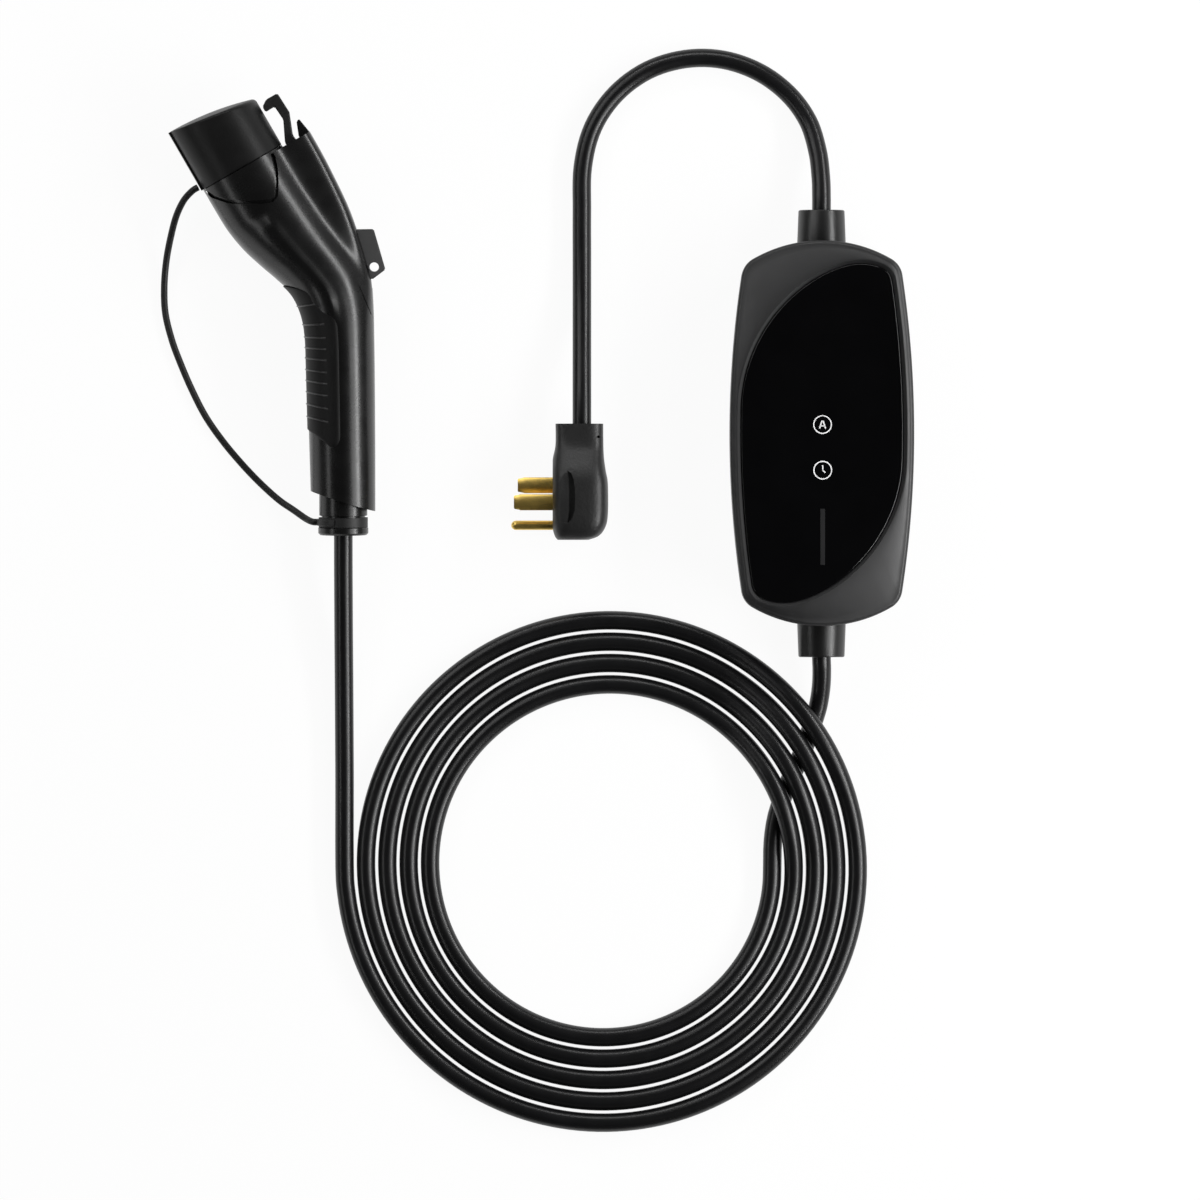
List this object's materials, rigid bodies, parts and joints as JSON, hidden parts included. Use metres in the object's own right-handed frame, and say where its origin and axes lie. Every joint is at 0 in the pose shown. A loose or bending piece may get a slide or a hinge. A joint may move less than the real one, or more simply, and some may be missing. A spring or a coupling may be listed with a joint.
{
  "type": "portable ev charger",
  "caption": "Portable car charging cable: a control box with a gloss face, a mains plug on a short lead, a coiled cable and a pistol-grip connector with latch and dust cap.",
  "frame": {"origin": "centre of the control box's back face, which lies on the surface", "axes": "+Z out of the box's face, +Y towards the gland of the mains lead, +X across the box away from the connector"},
  "size_m": [0.3993, 0.5747, 0.0511],
  "materials": {
    "case_plastic": "satin moulded",
    "panel_gloss": "gloss",
    "light_bar": "frosted",
    "soft_black": "matte moulded",
    "seal_rubber": "matte",
    "circuit_board": "solder resist",
    "relay_case": "moulded",
    "sensor_core": "lacquered",
    "module_case": "potted",
    "terminal_green": "moulded",
    "screw_steel": "zinc plated",
    "cable_jacket": "semi-matt extruded",
    "brass": "polished",
    "handle_plastic": "fine grain",
    "grip_rubber": "ribbed",
    "cap_rubber": "matte",
    "plate_plastic": "moulded",
    "switch_red": "moulded"
  },
  "bodies": {
    "charger": {"front_shell": "case_plastic", "rear_shell": "case_plastic", "case_seal": "seal_rubber", "face_panel": "panel_gloss", "light_bar": "light_bar", "panel_board": "circuit_board", "main_board": "circuit_board", "relay_1": "relay_case", "relay_2": "relay_case", "leakage_sensor": "sensor_core", "power_module": "module_case", "input_terminals": "terminal_green", "output_terminals": "terminal_green", "upper_gland": "soft_black", "lower_gland": "soft_black", "case_screws": "screw_steel", "board_screws": "screw_steel", "mains_lead": "cable_jacket", "plug_body": "soft_black", "line_blade_1": "brass", "line_blade_2": "brass", "neutral_blade": "brass", "earth_pin": "brass", "charge_lead": "cable_jacket", "cable_coil": "cable_jacket", "charge_tail": "cable_jacket", "near_shell": "handle_plastic", "far_shell": "handle_plastic", "grip_inset": "grip_rubber", "nose": "handle_plastic", "nose_core": "handle_plastic", "collar": "handle_plastic", "contact_plate": "plate_plastic", "line_contact_1": "brass", "line_contact_2": "brass", "earth_contact": "brass", "pilot_contact": "brass", "proximity_contact": "brass", "latch_pin": "screw_steel", "latch_spring": "screw_steel", "latch_switch": "switch_red", "slot_insert": "handle_plastic", "tail_sleeve": "handle_plastic", "tail_nut": "handle_plastic", "handle_screws": "screw_steel", "tether_ring": "cap_rubber", "tether_strap": "cap_rubber"},
    "latch": {"latch_lever": "handle_plastic", "thumb_tab": "handle_plastic"},
    "cap": {"dust_cap": "cap_rubber"}
  },
  "joints": [
    {"name": "latch_turn", "type": "hinge", "parent": "charger", "child": "latch", "pos_m": [-0.2658, 0.13112, 0.02538], "axis": [0, 0.0446, -0.999], "range_deg": [0, 3.5], "stiffness_Nm_per_rad": 1, "springref_deg": -5.73},
    {"name": "cap_pull", "type": "slide", "parent": "charger", "child": "cap", "axis": [-0.5, 0.8652, 0.0386], "range_m": [0, 0.05]}
  ]
}
